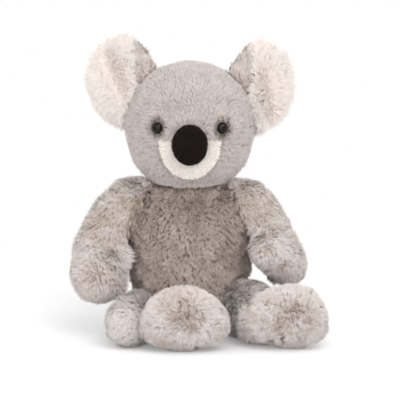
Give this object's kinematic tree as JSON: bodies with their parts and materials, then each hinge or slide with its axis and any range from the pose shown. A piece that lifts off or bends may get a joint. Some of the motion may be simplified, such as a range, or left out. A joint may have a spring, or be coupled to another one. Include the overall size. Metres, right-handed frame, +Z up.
{
  "type": "plush koala",
  "caption": "Seated plush koala with a jointed head, arms and legs, white-lined ears, a cream muzzle, a black velour nose and dark domed eyes.",
  "frame": {"origin": "middle of the flat seat under the torso, on the surface that the toy sits on", "axes": "+Z up through the torso and head, -Y the way the toy faces, +X to the toy's own left"},
  "size_m": [0.219, 0.1591, 0.2532],
  "materials": {
    "taupe_plush": "long pile",
    "grey_plush": "long pile, shorter on the head",
    "white_plush": "long pile",
    "cream_plush": "short pile",
    "black_velour": "velour",
    "eye_plastic": "gloss",
    "washer_plastic": "moulded"
  },
  "bodies": {
    "torso": {"torso": "taupe_plush"},
    "head": {"head": "grey_plush", "muzzle": "cream_plush", "nose": "black_velour", "ear_back_left": "grey_plush", "ear_back_right": "grey_plush", "ear_lining_left": "white_plush", "ear_lining_right": "white_plush", "eye_left": "eye_plastic", "eye_right": "eye_plastic", "eye_washer_left": "washer_plastic", "eye_washer_right": "washer_plastic"},
    "arm_left": {"arm_left": "grey_plush"},
    "arm_right": {"arm_right": "grey_plush"},
    "leg_left": {"leg_left": "grey_plush", "foot_left": "grey_plush"},
    "leg_right": {"leg_right": "grey_plush", "foot_right": "grey_plush"}
  },
  "joints": [
    {"name": "neck_turn", "type": "hinge", "parent": "torso", "child": "head", "pos_m": [0, 0, 0.128], "axis": [0, 0, 1], "range_deg": [-40, 40]},
    {"name": "shoulder_left", "type": "hinge", "parent": "torso", "child": "arm_left", "pos_m": [0.04282, -0.002, 0.10496], "axis": [-0.9135, 0, -0.4067], "range_deg": [-10, 60]},
    {"name": "shoulder_right", "type": "hinge", "parent": "torso", "child": "arm_right", "pos_m": [-0.04282, -0.002, 0.10496], "axis": [-0.9135, 0, 0.4067], "range_deg": [-10, 60]},
    {"name": "hip_left", "type": "hinge", "parent": "torso", "child": "leg_left", "pos_m": [0.032, -0.02, 0.023], "axis": [1, 0, 0], "range_deg": [0, 70]},
    {"name": "hip_right", "type": "hinge", "parent": "torso", "child": "leg_right", "pos_m": [-0.032, -0.02, 0.023], "axis": [1, 0, 0], "range_deg": [0, 70]}
  ]
}
